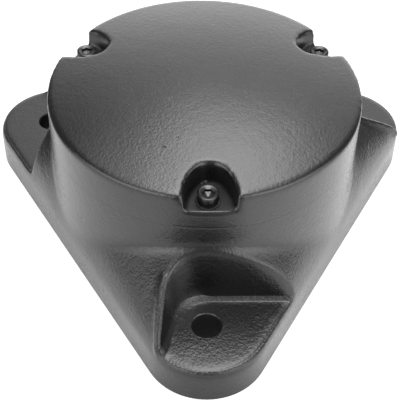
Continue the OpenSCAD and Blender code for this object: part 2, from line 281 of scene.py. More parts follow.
def handling_marks() -> bpy.types.NodeTree:
    """Build the fine scratches and finger film on small metal parts.

    Returns:
        The group: scratch height and a cloudy film.
    """
    bench = open_group(Effect.HANDLING, {"Size": 1500.0}, ("Height", "Film"))
    start, end = bench.tree.nodes["start"], bench.tree.nodes["end"]
    place = bench.place()
    bench.feed(bench.noise(place, start.outputs["Size"], detail=4.0, rough=0.65), end.inputs["Height"])
    bench.feed(bench.noise(place, scale=160.0, detail=4.0, rough=0.65), end.inputs["Film"])
    return bench.tree


GROUPS: dict[Effect, Callable[[], bpy.types.NodeTree]] = {
    Effect.CAST_SKIN: cast_skin,
    Effect.TURNING: turning_marks,
    Effect.HANDLING: handling_marks,
}


@dataclass(frozen=True)
class Finish:
    """A named surface finish."""

    name: str

    def material(self) -> bpy.types.Material:
        """Build the material the first time, and give the same one later.

        Returns:
            The finish as a Blender material.
        """
        ready = bpy.data.materials.get(self.name)
        if ready:
            return ready
        material = bpy.data.materials.new(self.name)
        material.use_nodes = True
        self.shade(NodeBench(material.node_tree), material.node_tree.nodes["Principled BSDF"])
        return material

    def shade(self, bench: NodeBench, shader: bpy.types.Node) -> None:
        """Set up the shader; each kind of finish does it in its own way."""
        raise NotImplementedError(self.name)


@dataclass(frozen=True)
class Flaw:
    """A pit or a bead in the cast skin: place and reach in millimetres, height in skin depths."""

    spot: tuple[float, float, float]
    reach: float
    height: float
    core: float = 0.25

    def relief(self, bench: NodeBench, place: Socket) -> Socket:
        """Give the height that the flaw adds.

        Args:
            bench: Tree that it goes into.
            place: The point's place.

        Returns:
            The height's socket.
        """
        gap = bench.gap(place, self.spot)
        return bench.span(gap, self.height, 0.0, self.core * self.reach * MM, self.reach * MM)


@dataclass(frozen=True)
class PaintedIron(Finish):
    """Black paint over a sand-cast skin."""

    dark: Colour = (0.004, 0.004, 0.004)
    light: Colour = (0.007, 0.007, 0.0068)
    gloss: tuple[float, float] = (0.24, 0.31)
    coat: float = 1.0
    coat_gloss: float = 0.2
    grain: float = 900.0
    depth: float = 0.00012
    flaws: tuple[Flaw, ...] = ()
    seam_z: float = 0.0
    lower_skin: float = 1.3
    skirt_skin: float = 3.0
    skirt_z: float = 30.0
    seam_mid: tuple[float, float, float] = (0.0, -80.0, 67.0)
    seam_reach: Point = (25.0, 50.0)
    seam_blend: float = 1.2
    waver: float = 0.5
    waver_scale: float = 45.0
    groove: float = -0.4
    groove_width: Point = (0.1, 0.8)
    coarse: float = 0.5
    pit_depth: float = 1.6
    off_upright: Point = (0.25, 0.45)
    near_level: Point = (0.86, 0.95)

    def shade(self, bench: NodeBench, shader: bpy.types.Node) -> None:
        """Set up the paint.

        Args:
            bench: The material's tree.
            shader: Its Principled shader.
        """
        bench.feed(self.coat, shader.inputs["Coat Weight"])
        bench.feed(self.coat_gloss, shader.inputs["Coat Roughness"])
        skin = bench.effect(Effect.CAST_SKIN, Grain=self.grain, Coarse=self.coarse)
        mottle = skin.outputs["Mottle"]
        bench.feed(bench.blend(mottle, self.dark, self.light), shader.inputs["Base Color"])
        bench.feed(bench.span(mottle, *self.gloss, *PATTERN), shader.inputs["Roughness"])
        pits = bench.maths("MULTIPLY", skin.outputs["Pits"], self.pit_depth)
        height = bench.maths("SUBTRACT", skin.outputs["Height"], pits)
        place = bench.place()
        if self.seam_z:
            height = self.seam(bench, place, height)
        for flaw in self.flaws:
            height = bench.maths("ADD", height, flaw.relief(bench, place))
        bench.relief(shader, height, self.depth, ("Normal", "Coat Normal"))

    def slope(self, bench: NodeBench) -> Socket:
        """Tell slanting faces from level and upright ones.

        Args:
            bench: The material's tree.

        Returns:
            One on the slanting faces and nought on the others.
        """
        normal = bench.add("ShaderNodeTexCoord").outputs["Normal"]
        rise = bench.add("ShaderNodeSeparateXYZ", {0: normal}).outputs[2]
        leaning = bench.span(rise, 0.0, 1.0, *self.off_upright)
        sloping = bench.span(rise, 1.0, 0.0, *self.near_level)
        return bench.maths("MULTIPLY", leaning, sloping)

    def seam(self, bench: NodeBench, place: Socket, height: Socket) -> Socket:
        """Roughen the skin below the mould's joint and score a faint line along its front part.

        Args:
            bench: The material's tree.
            place: The point's place.
            height: Height of the even skin.

        Returns:
            Height with the joint.
        """
        level = self.seam_z * MM
        up = bench.add("ShaderNodeSeparateXYZ", {0: place}).outputs[2]
        swing = self.waver * MM
        wave = bench.span(bench.noise(place, self.waver_scale, detail=1.0), -swing, swing)
        up = bench.maths("ADD", up, wave)
        below = level - self.seam_blend * MM
        grown = bench.maths("MULTIPLY", height, bench.span(up, self.lower_skin, 1.0, below, level))
        rough = bench.maths("MULTIPLY", self.slope(bench), bench.span(up, 1.0, 0.0, self.skirt_z * MM, level))
        coarse = bench.span(rough, 1.0, self.skirt_skin / self.lower_skin)
        grown = bench.maths("MULTIPLY", grown, coarse)
        off = bench.maths("ABSOLUTE", bench.maths("SUBTRACT", up, level))
        away = bench.gap(place, self.seam_mid)
        fade = bench.span(away, 1.0, 0.0, *(reach * MM for reach in self.seam_reach))
        line = bench.span(off, self.groove, 0.0, *(width * MM for width in self.groove_width))
        return bench.maths("ADD", grown, bench.maths("MULTIPLY", line, fade))


@dataclass(frozen=True)
class TurnedMetal(Finish):
    """Metal with the rings of a lathe around the shaft axis."""

    dark: Colour = (0.46, 0.47, 0.48)
    light: Colour = (0.56, 0.57, 0.58)
    gloss: tuple[float, float] = (0.16, 0.26)
    pitch: float = 5200.0
    depth: float = 0.000004

    def shade(self, bench: NodeBench, shader: bpy.types.Node) -> None:
        """Set up the turned metal.

        Args:
            bench: The material's tree.
            shader: Its Principled shader.
        """
        bench.feed(1.0, shader.inputs["Metallic"])
        marks = bench.effect(Effect.TURNING, Pitch=self.pitch)
        shade = marks.outputs["Shade"]
        bench.feed(bench.blend(shade, self.dark, self.light), shader.inputs["Base Color"])
        bench.feed(bench.span(shade, *self.gloss, *PATTERN), shader.inputs["Roughness"])
        bench.relief(shader, marks.outputs["Height"], self.depth, ("Normal",))


@dataclass(frozen=True)
class HandledStock(Finish):
    """Small hardware or rubber with a cloudy film and fine scratches."""

    dark: Colour = (0.03, 0.03, 0.032)
    light: Colour = (0.07, 0.07, 0.072)
    gloss: tuple[float, float] = (0.28, 0.42)
    metallic: float = 1.0
    size: float = 1500.0
    depth: float = 0.00002

    def shade(self, bench: NodeBench, shader: bpy.types.Node) -> None:
        """Set up the stock finish.

        Args:
            bench: The material's tree.
            shader: Its Principled shader.
        """
        bench.feed(self.metallic, shader.inputs["Metallic"])
        marks = bench.effect(Effect.HANDLING, Size=self.size)
        film = marks.outputs["Film"]
        bench.feed(bench.blend(film, self.dark, self.light), shader.inputs["Base Color"])
        bench.feed(bench.span(film, *self.gloss, *PATTERN), shader.inputs["Roughness"])
        bench.relief(shader, marks.outputs["Height"], self.depth, ("Normal",))


def dress(finish: Finish, *nodes: str) -> None:
    """Give CAD nodes their finish.

    Args:
        finish: The finish.
        nodes: Names of the nodes.
    """
    for node in nodes:
        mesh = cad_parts[node].data
        mesh.materials.clear()
        mesh.materials.append(finish.material())
        LOG.info("%s dressed in %s", node, finish.name)


def settle(name: str, bm: bmesh.types.BMesh) -> bpy.types.Object:
    """Turn a bmesh into an object at the origin.

    Args:
        name: Name of the piece.
        bm: Its mesh, freed here.

    Returns:
        The new object.
    """
    mesh = bpy.data.meshes.new(name)
    bm.to_mesh(mesh)
    bm.free()
    piece = bpy.data.objects.new(name, mesh)
    bpy.context.scene.collection.objects.link(piece)
    return piece


def finished_mesh(piece: bpy.types.Object) -> bpy.types.Mesh:
    """Give the mesh that a piece has once its modifiers are applied."""
    bpy.context.view_layer.update()
    return bpy.data.meshes.new_from_object(piece.evaluated_get(bpy.context.evaluated_depsgraph_get()))


def apply_all(piece: bpy.types.Object) -> bpy.types.Object:
    """Put the result of a piece's modifiers into its own mesh.

    Args:
        piece: The piece.

    Returns:
        The same piece, without modifiers.
    """
    mesh = finished_mesh(piece)
    piece.modifiers.clear()
    piece.data = mesh
    return piece


def even_out(piece: bpy.types.Object, voxel: float) -> bpy.types.Object:
    """Fuse a piece's shells into one skin of even faces.

    Args:
        piece: The piece.
        voxel: Size of the faces in metres.

    Returns:
        The same piece.
    """
    even = piece.modifiers.new("even", "REMESH")
    even.mode, even.voxel_size, even.use_smooth_shade = "VOXEL", voxel, True
    return apply_all(piece)


def carve(piece: bpy.types.Object, tools: Sequence[bpy.types.Object]) -> bpy.types.Object:
    """Take the tools' shapes out of a piece.

    Args:
        piece: The piece.
        tools: Closed shapes, removed afterwards.

    Returns:
        The carved piece.
    """
    for tool in tools:
        cut = piece.modifiers.new(tool.name, "BOOLEAN")
        cut.operation, cut.object, cut.solver = "DIFFERENCE", tool, "MANIFOLD"
    apply_all(piece)
    for tool in tools:
        bpy.data.objects.remove(tool)
    return piece


def turn(angle: float) -> Matrix:
    """Give the turn about the shaft axis by an angle in degrees."""
    return Matrix.Rotation(math.radians(angle), 4, "Z")


def shift(x: float, y: float, z: float) -> Matrix:
    """Give the move by so many millimetres."""
    return Matrix.Translation((x * MM, y * MM, z * MM))


def spun(bm: bmesh.types.BMesh, profile: Outline, steps: int, place: Matrix) -> None:
    """Add a closed turned shape.

    Args:
        bm: Mesh that it joins.
        profile: Radius and height of each corner in millimetres, from axis to axis.
        steps: Number of steps around.
        place: Where the shape goes.
    """
    old = set(bm.verts)
    verts = [bm.verts.new((r * MM, 0.0, z * MM)) for r, z in profile]
    edges = [bm.edges.new(pair) for pair in zip(verts, verts[1:])]
    bmesh.ops.spin(bm, geom=verts + edges, cent=(0, 0, 0), axis=(0, 0, 1), angle=2 * math.pi, steps=steps,
                   use_merge=True)
    bmesh.ops.remove_doubles(bm, verts=[v for v in bm.verts if v not in old], dist=MERGE)
    made = [v for v in bm.verts if v not in old]
    bmesh.ops.recalc_face_normals(bm, faces=list({f for v in made for f in v.link_faces}))
    bmesh.ops.transform(bm, matrix=place, verts=made)


def prism(bm: bmesh.types.BMesh, outline: Outline, low: float, high: float, place: Matrix,
          lean: Callable[[float, float], Point] | None = None, fillet: float = 0.0) -> None:
    """Add a closed upright block over an outline.

    Args:
        bm: Mesh that it joins.
        outline: Corners in millimetres.
        low: Height of the floor.
        high: Height of the top.
        place: Where the block goes.
        lean: How far each corner moves sideways on its way up.
        fillet: Radius along the floor's edges.
    """
    old = set(bm.verts)
    floor = bm.faces.new([bm.verts.new((x * MM, y * MM, low * MM)) for x, y in outline])
    rim = list(floor.edges)
    top = bmesh.ops.extrude_face_region(bm, geom=[floor], use_keep_orig=True)
    for vert in (g for g in top["geom"] if isinstance(g, bmesh.types.BMVert)):
        dx, dy = lean(vert.co.x / MM, vert.co.y / MM) if lean else (0.0, 0.0)
        vert.co += Vector((dx, dy, high - low)) * MM
    if fillet:
        bmesh.ops.bevel(bm, geom=rim, offset=fillet * MM, offset_type="OFFSET", segments=FILLET_STEPS,
                        profile=0.5, affect="EDGES", clamp_overlap=False, material=-1)
    made = [v for v in bm.verts if v not in old]
    bmesh.ops.recalc_face_normals(bm, faces=list({f for v in made for f in v.link_faces}))
    bmesh.ops.transform(bm, matrix=place, verts=made)


def stacked(bm: bmesh.types.BMesh, rings: Sequence[Sequence[Vector]], place: Matrix) -> None:
    """Join rings of equal count into one skin with closed ends.

    Args:
        bm: Mesh that it joins.
        rings: Points of each ring in millimetres.
        place: Where the shape goes.
    """
    old = set(bm.verts)
    loops = [[bm.verts.new(point * MM) for point in ring] for ring in rings]
    for low, high in zip(loops, loops[1:]):
        for i in range(len(low)):
            bm.faces.new((low[i - 1], low[i], high[i], high[i - 1]))
    bm.faces.new(loops[0][::-1])
    bm.faces.new(loops[-1])
    bmesh.ops.transform(bm, matrix=place, verts=[v for v in bm.verts if v not in old])


def arc(centre: Point, radius: float, start: float, end: float, steps: int) -> list[Point]:
    """Give points along an arc, with angles in degrees."""
    angles = (math.radians(start + (end - start) * i / steps) for i in range(steps + 1))
    return [(centre[0] + radius * math.cos(a), centre[1] + radius * math.sin(a)) for a in angles]


@dataclass(frozen=True)
class Zone:
    """A block in a corner's own frame, in millimetres, and the number of passes that soften it."""

    passes: int
    along: float
    up: Point
    aside: Point = (-math.inf, math.inf)

    def holds(self, spot: Vector) -> bool:
        """Say whether a point of the corner's frame lies in the block."""
        beside = self.aside[0] < spot.y < self.aside[1]
        return spot.x > self.along and beside and self.up[0] < spot.z < self.up[1]


@dataclass
class Casting:
    """The painted grey-iron body: a moulded blank with pockets, then the machine shop's cuts."""

    voxel: float = 0.00106
    stock: float = 8.0
    corner_dist: float = 98.6
    corner_r: float = 31.8
    wall_h: float = 15.5
    crest_ratio: float = 0.776
    lobe_start: float = 30.0
    barrel_r: float = 80.4
    apex_z: float = 94.7
    dome_rise: float = 8.5
    rim_r: float = 1.2
    pad_h: float = 20.6
    bolt_r: float = 101.5
    bolt_hole_r: float = 7.25
    pocket_back: float = 84.9
    pocket_side: float = 16.6
    pocket_splay: float = 15.5
    pocket_r: float = 17.0
    back_draft: float = 5.0
    side_draft: float = 12.0
    floor_fillet: float = 2.6
    bead_r: float = 2.2
    screw_r: float = 72.5
    screw_floor: float = 77.0
    spot_z: float = 75.6
    spot_r: float = 5.9
    screw_hole_r: float = 3.3
    slot_half: float = 12.0
    slot_deep: float = 20.0
    slot_aside: float = 0.8
    slot_draft: float = 5.0
    seat_r: float = 60.05
    seat_z: float = 72.0
    hollow_r: float = 50.0
    hollow_z: float = 86.0
    recess_r: float = 66.3
    recess_h: float = 18.0
    lug_r: float = 9.3
    plug_z: float = 46.5
    plug_profile: Outline = ((0, 55), (2.5, 55), (2.5, 69), (4.95, 69), (4.95, 79), (9, 83), (0, 83))
    crease: float = 40.0
    # Lap of the lobes over the axis, and how far the mould's cores reach out and up
    lobe_lap: float = 0.6
    pocket_open: float = 110.0
    pocket_run: float = 80.0
    pocket_core: float = 45.0
    slot_open: float = 25.0
    slot_core: float = 24.0
    slot_fillet: float = 1.2
    # The bead: its first point on the pocket's outline, least height, depth below the ridge in radii,
    # and the extra depth and its length at the upper and the lower end
    bead_from: int = 12
    bead_end: float = 2.5
    bead_guess: float = 15.0
    bead_aside: float = 0.8
    bead_sink: float = 0.65
    upper_dive: Point = (0.9, 5.0)
    lower_dive: Point = (0.8, 4.0)
    # Run-out, edges and depths of the machine shop's tools
    run_out: float = 5.0
    hollow_cone: Point = (9.0, 7.0)
    lug_from: float = 40.0
    hole_edge: float = 0.5
    hole_over: float = 5.5
    screw_edge: float = 0.3
    screw_low: float = 10.0
    spot_over: float = 3.0
    # Where the cast skin is softened: passes everywhere, along the barrel's foot and on the pads' outer
    # edges, then the zones around a bolt pocket, on the ridge beside it and around a screw slot
    skin_passes: int = 3
    junction_passes: int = 30
    junction_band: Point = (70.0, 91.0)
    junction_reach: float = 11.0
    brow_passes: int = 10
    brow_gap: float = 3.0
    brow_half: float = 3.0
    brow_width: float = 9.0
    soft_zones: tuple[Zone, ...] = (
        Zone(passes=4, along=76.0, up=(25.0, 60.0)),
        Zone(passes=3, along=88.0, up=(22.5, math.inf), aside=(-math.inf, -9.0)),
        Zone(passes=3, along=56.0, up=(75.0, math.inf), aside=(-17.0, 17.0)),
    )
    # Margins when a face is matched to the cut that made it
    face_margin: float = 0.02
    depth_margin: float = 0.1
    wall_margin: float = 0.2
    hole_margin: float = 0.3
    slot_margin: float = 0.9
    slot_rim: float = 1.2
    seat_margin: float = 0.05

    def crest(self, u: float, w: float) -> float:
        """Give a lobe's height.

        Args:
            u: Distance along the corner's direction.
            w: Distance to the side of it.

        Returns:
            Height in millimetres.
        """
        half = (self.corner_dist + 2 * self.corner_r - u) * math.tan(HALF_CORNER)
        return self.wall_h + self.crest_ratio * math.sqrt(max(half * half - w * w, 0.0))

    def barrel(self, bm: bmesh.types.BMesh) -> None:
        """Add the round barrel with its domed end.

        Args:
            bm: Mesh that it joins.
        """
        dome_r = (self.barrel_r ** 2 + self.dome_rise ** 2) / (2 * self.dome_rise)
        centre = self.apex_z - dome_r
        rim = self.barrel_r - self.rim_r
        rim_z = centre + math.sqrt((dome_r - self.rim_r) ** 2 - rim ** 2)
        lean = math.degrees(math.atan2(rim_z - centre, rim))
        profile = [(0.0, -self.stock), (self.barrel_r, -self.stock)]
        profile += arc((rim, rim_z), self.rim_r, 0, lean, steps=10)
        profile += arc((0.0, centre), dome_r, lean, 90, steps=60)[1:-1] + [(0.0, self.apex_z)]
        spun(bm, profile, steps=240, place=Matrix())

    def flange(self, bm: bmesh.types.BMesh) -> None:
        """Add the upright part of the three-cornered flange.

        Args:
            bm: Mesh that it joins.
        """
        outline = []
        for angle in CORNERS:
            a = math.radians(angle)
            centre = (self.corner_dist * math.cos(a), self.corner_dist * math.sin(a))
            outline += arc(centre, self.corner_r, angle - CORNER_TURN, angle + CORNER_TURN, steps=48)
        prism(bm, outline, -self.stock, self.wall_h, Matrix())

    def lobe(self, bm: bmesh.types.BMesh, angle: float) -> None:
        """Add the rolled upper part of one corner.

        Args:
            bm: Mesh that it joins.
            angle: Direction of the corner in degrees.
        """
        one = bmesh.new()
        bmesh.ops.create_uvsphere(one, u_segments=96, v_segments=48, radius=self.corner_r * MM,
                                  matrix=shift(self.corner_dist, 0, 0))
        broad = (self.corner_dist + 2 * self.corner_r - self.lobe_start) * math.tan(HALF_CORNER)
        bmesh.ops.create_circle(one, segments=192, radius=broad * MM,
                                matrix=shift(self.lobe_start, 0, 0) @ Matrix.Rotation(math.pi / 2, 4, "Y"))
        hull = bmesh.ops.convex_hull(one, input=one.verts[:], use_existing_faces=False)
        keep = {g for g in hull["geom"] if isinstance(g, bmesh.types.BMFace)}
        bmesh.ops.delete(one, geom=[f for f in one.faces if f not in keep], context="FACES")
        bmesh.ops.delete(one, geom=[v for v in one.verts if not v.link_faces], context="VERTS")
        for side in (1, -1):
            outwards = (-math.sin(math.pi / 3), side * 0.5, 0)
            bmesh.ops.bisect_plane(one, geom=one.verts[:] + one.edges[:] + one.faces[:], dist=ON_PLANE,
                                   plane_co=(-self.lobe_lap * MM, 0, 0), plane_no=outwards, clear_outer=True)
            bmesh.ops.holes_fill(one, edges=[e for e in one.edges if e.is_boundary], sides=0)
        bmesh.ops.scale(one, vec=(1, 1, self.crest_ratio), verts=one.verts[:])
        bmesh.ops.transform(one, matrix=turn(angle) @ shift(0, 0, self.wall_h), verts=one.verts[:])
        bmesh.ops.recalc_face_normals(one, faces=one.faces[:])
        joint = bpy.data.meshes.new("lobe")
        one.to_mesh(joint)
        one.free()
        bm.from_mesh(joint)
        bpy.data.meshes.remove(joint)

    def blank(self) -> bpy.types.Object:
        """Fuse barrel, flange and lobes, with stock left on the mounting face.

        Returns:
            One closed skin of even faces.
        """
        bm = bmesh.new()
        self.barrel(bm)
        self.flange(bm)
        for angle in CORNERS:
            self.lobe(bm, angle)
        return even_out(settle("painted_casting", bm), self.voxel)

    def local(self, spot: Vector) -> Vector:
        """Give a point in the frame of its nearest corner, in millimetres along, aside and up."""
        return max((turn(-a) @ (spot / MM) for a in CORNERS), key=lambda p: p.x)

    def at_junction(self, spot: Vector) -> bool:
        """Say whether a point is near the line where a lobe runs into the barrel.

        Args:
            spot: The point in metres.

        Returns:
            True within the reach of the cast fillet.
        """
        u, w, z = self.local(spot)
        r = math.hypot(u, w)
        inner, outer = self.junction_band
        if not inner < r < outer:
            return False
        k = self.barrel_r / r
        return abs(z - self.crest(u * k, w * k)) < self.junction_reach

    def within(self, zone: Zone) -> Callable[[Vector], bool]:
        """Give the test whether a point in metres lies in a zone of its nearest corner."""
        return lambda spot: zone.holds(self.local(spot))

    def at_brow(self, spot: Vector) -> bool:
        """Say whether a point lies on the outer edge of a bolt pad.

        Args:
            spot: The point in metres.

        Returns:
            True within the reach of the edge's rounding.
        """
        u, w, z = self.local(spot)
        outside = math.hypot(u - self.corner_dist, w) > self.corner_r - self.brow_width
        return outside and u > self.pocket_back + self.brow_gap and abs(z - self.pad_h) < self.brow_half

    def soften(self, piece: bpy.types.Object, *rounds: tuple[int, Callable[[Vector], bool] | None]) -> None:
        """Round edges and fill corners as the mould does.

        Args:
            piece: A piece of even faces.
            rounds: Number of passes, and the test of the points that they move.
        """
        bm = bmesh.new()
        bm.from_mesh(piece.data)
        for count, reach in rounds:
            verts = [v for v in bm.verts if reach is None or reach(v.co)]
            for _ in range(count):
                bmesh.ops.smooth_vert(bm, verts=verts, factor=0.5, use_axis_x=True, use_axis_y=True,
                                      use_axis_z=True)
        bm.to_mesh(piece.data)
        bm.free()

    def pocket_outline(self) -> list[Point]:
        """Give a bolt pocket's floor in the frame of the front corner.

        Returns:
            Corners in millimetres: back wall, round inner corner, splayed side wall, open outside.
        """
        s = math.radians(self.pocket_splay)
        cy = -(self.pocket_back + self.pocket_r)
        cx = -self.pocket_side + (self.pocket_r + (cy + self.bolt_r) * math.sin(s)) / math.cos(s)
        end = (-self.pocket_side - self.pocket_run * math.tan(s), -self.bolt_r - self.pocket_run)
        corner = arc((cx, cy), self.pocket_r, 90, 180 - self.pocket_splay, steps=20)
        return [(self.pocket_open, -self.pocket_back), *corner, end, (self.pocket_open, end[1])]

    def bead_depth(self, count: int, rise: float) -> float:
        """Give the depth of the bead's middle below the ridge, greater at both ends.

        Args:
            count: Number of the bead's points before this one.
            rise: Height of the ridge over the pad.

        Returns:
            Depth in millimetres.
        """
        upper = self.upper_dive[0] * max(1 - count / self.upper_dive[1], 0.0)
        lower = self.lower_dive[0] * max(1 - (rise - self.bead_end) / self.lower_dive[1], 0.0)
        return self.bead_r * (self.bead_sink + upper + lower)

    def bead_path(self) -> list[tuple[float, float, float]]:
        """Find the line of the bead on the ridge beside a bolt pocket.

        Returns:
            Points in the frame of the front corner, in millimetres.
        """
        steps, used, tries = 50, 30, 8
        curve = self.pocket_outline()[self.bead_from:-1]
        (x0, y0), (x1, y1) = curve[-2:]
        wall = [(x0 + (x1 - x0) * i / steps, y0 + (y1 - y0) * i / steps) for i in range(1, used)]
        side = math.tan(math.radians(self.side_draft))
        back = math.tan(math.radians(self.back_draft))
        path = []
        for x, y in curve[:-1] + wall:
            rise = self.bead_guess
            for _ in range(tries):
                rise = max(self.crest(-y - rise * back, x - rise * side) - self.pad_h, 0.0)
            if rise < self.bead_end:
                break
            z = self.pad_h + rise - self.bead_depth(len(path), rise)
            path.append((x - rise * side - self.bead_aside * self.bead_r, y + rise * back, z))
        return path

    def beads(self) -> bpy.types.Mesh:
        """Make the rounded beads on the three ridges.

        Returns:
            Their mesh.
        """
        bm = bmesh.new()
        steps = 20
        angles = [2 * math.pi * i / steps for i in range(steps)]
        rings = [[Vector((x + self.bead_r * math.cos(a), y, z + self.bead_r * math.sin(a))) for a in angles]
                 for x, y, z in self.bead_path()]
        for angle in CORNERS:
            stacked(bm, rings, turn(angle + 90))
        mesh = bpy.data.meshes.new("beads")
        bm.to_mesh(mesh)
        bm.free()
        return mesh

    def join(self, piece: bpy.types.Object, mesh: bpy.types.Mesh) -> None:
        """Add a closed shell to a piece; evening it out later fuses the two.

        Args:
            piece: The piece.
            mesh: The shell.
        """
        bm = bmesh.new()
        bm.from_mesh(piece.data)
        bm.from_mesh(mesh)
        bm.to_mesh(piece.data)
        bm.free()

    def slot_outline(self) -> list[Point]:
        """Give a screw slot's floor in the frame of its corner.

        Returns:
            Corners in millimetres of a tapering arch, open outwards.
        """
        ring = arc((0.0, 0.0), 1.0, 90, 270, steps=48)
        arch = [(self.barrel_r + self.slot_deep * x, self.slot_half * y) for x, y in ring]
        mouth = self.barrel_r + self.slot_open
        return arch + [(mouth, -self.slot_half), (mouth, self.slot_half)]

    def slot_lean(self, x: float, y: float) -> Point:
        """Give the way a point of a screw slot's wall moves out towards the top.

        Args:
            x: The point's distance along the corner's direction.
            y: Its distance to the side.

        Returns:
            The move in millimetres.
        """
        out = self.slot_core * math.tan(math.radians(self.slot_draft))
        inwards = min((x - self.barrel_r) / self.slot_deep ** 2, 0.0)
        way = Vector((inwards, y / self.slot_half ** 2)).normalized()
        return way.x * out, way.y * out

    def pockets(self) -> list[bpy.types.Object]:
        """Make the mould's cores for the bolt pockets and the screw slots.

        Returns:
            One object each.
        """
        bolts, slots = bmesh.new(), bmesh.new()
        rise = self.pocket_core
        lean = (-rise * math.tan(math.radians(self.side_draft)),
                rise * math.tan(math.radians(self.back_draft)))
        for angle in CORNERS:
            prism(bolts, self.pocket_outline(), self.pad_h, self.pad_h + rise, turn(angle + 90),
                  lambda x, y: lean, self.floor_fillet)
            prism(slots, self.slot_outline(), self.screw_floor, self.screw_floor + self.slot_core,
                  turn(angle) @ shift(0, self.slot_aside, 0), self.slot_lean, self.slot_fillet)
        return [settle("bolt_cores", bolts), settle("slot_cores", slots)]

    def trim(self, piece: bpy.types.Object) -> None:
        """Face off the mounting side.

        Args:
            piece: The moulded casting.
        """
        bm = bmesh.new()
        bm.from_mesh(piece.data)
        bmesh.ops.bisect_plane(bm, geom=bm.verts[:] + bm.edges[:] + bm.faces[:], dist=ON_PLANE,
                               plane_co=(0, 0, 0), plane_no=(0, 0, 1), clear_inner=True)
        bmesh.ops.holes_fill(bm, edges=[e for e in bm.edges if e.is_boundary], sides=0)
        bmesh.ops.recalc_face_normals(bm, faces=bm.faces[:])
        bm.to_mesh(piece.data)
        bm.free()

    def machine_tools(self) -> list[bpy.types.Object]:
        """Make the shapes that the machine shop takes out.

        Returns:
            One object for the turned bores, one for the lug recesses and one for the drilled holes.
        """
        bore, lugs, holes = bmesh.new(), bmesh.new(), bmesh.new()
        low, top = -self.run_out, self.pad_h
        seat, hollow, roof = self.seat_r, self.hollow_r, self.hollow_z
        spun(bore, ((0, low), (self.recess_r, low), (self.recess_r, self.recess_h), (seat, self.recess_h),
                    (seat, self.seat_z), (hollow, self.seat_z), (hollow, roof - self.hollow_cone[1]),
                    (hollow - self.hollow_cone[0], roof), (0, roof)), steps=144, place=Matrix())
        for angle in CORNERS:
            round_end = arc((self.screw_r, 0.0), self.lug_r, -90, 90, steps=32)
            inner_end = [(self.lug_from, self.lug_r), (self.lug_from, -self.lug_r)]
            prism(lugs, round_end + inner_end, low, self.recess_h, turn(angle))
            r, edge, over = self.bolt_hole_r, self.hole_edge, self.hole_over
            spun(holes, ((0, low), (r + edge - low, low), (r, edge), (r, top - edge),
                         (r + edge + over, top + over), (0, top + over)), steps=96,
                 place=turn(angle) @ shift(self.bolt_r, 0, 0))
            r, edge, clear = self.screw_hole_r, self.screw_edge, self.screw_floor + self.spot_over
            spun(holes, ((0, self.screw_low), (r, self.screw_low), (r, self.spot_z - edge),
                         (r + edge, self.spot_z), (self.spot_r, self.spot_z), (self.spot_r, clear),
                         (0, clear)), steps=64, place=turn(angle) @ shift(self.screw_r, 0, 0))
        spun(holes, self.plug_profile, steps=64,
             place=shift(0, 0, self.plug_z) @ Matrix.Rotation(math.radians(-90), 4, "X"))
        return [settle(n, b) for n, b in (("bore_cut", bore), ("lug_cut", lugs), ("hole_cut", holes))]

    def face_kind(self, spot: Vector) -> Face:
        """Say which finish a face gets.

        Args:
            spot: The face's centre in metres.

        Returns:
            Bare for machined faces, hole for bolt holes and slot floors, paint elsewhere.
        """
        u, w, z = self.local(spot)
        r = math.hypot(u, w)
        if z < self.face_margin:
            return Face.BARE
        steps = ((self.recess_r, self.recess_h), (self.seat_r, self.seat_z), (self.hollow_r, self.hollow_z))
        if any(r < limit + self.wall_margin and z < top + self.depth_margin for limit, top in steps):
            return Face.BARE
        broad, far = self.lug_r + self.depth_margin, self.screw_r + self.lug_r + self.depth_margin
        if z < self.recess_h + self.depth_margin and abs(w) < broad and r < far:
            return Face.BARE
        off_bolt = math.hypot(u - self.bolt_r, w)
        if off_bolt < self.bolt_hole_r + self.hole_margin and z < self.pad_h - self.hole_margin:
            return Face.HOLE
        across = (w - self.slot_aside) / (self.slot_half + self.slot_margin)
        along = (u - self.barrel_r) / (self.slot_deep + self.slot_margin)
        in_slot = across ** 2 + along ** 2 < 1 and r < self.barrel_r - self.slot_rim
        if in_slot and self.spot_z - self.depth_margin < z < self.screw_floor + self.slot_fillet:
            return Face.HOLE
        off_screw = math.hypot(u - self.screw_r, w)
        if off_screw < self.screw_hole_r + self.wall_margin and z < self.spot_z - self.seat_margin:
            return Face.BARE
        return Face.PAINT

    def build(self) -> bpy.types.Object:
        """Mould, trim and machine the body.

        Returns:
            The finished piece, without its materials.
        """
        piece = self.blank()
        self.soften(piece, (self.skin_passes, None), (self.junction_passes, self.at_junction))
        carve(piece, self.pockets())
        self.join(piece, self.beads())
        even_out(piece, self.voxel)
        zones = [(zone.passes, self.within(zone)) for zone in self.soft_zones]
        self.soften(piece, (self.skin_passes, None), *zones, (self.brow_passes, self.at_brow))
        self.trim(piece)
        return carve(piece, self.machine_tools())

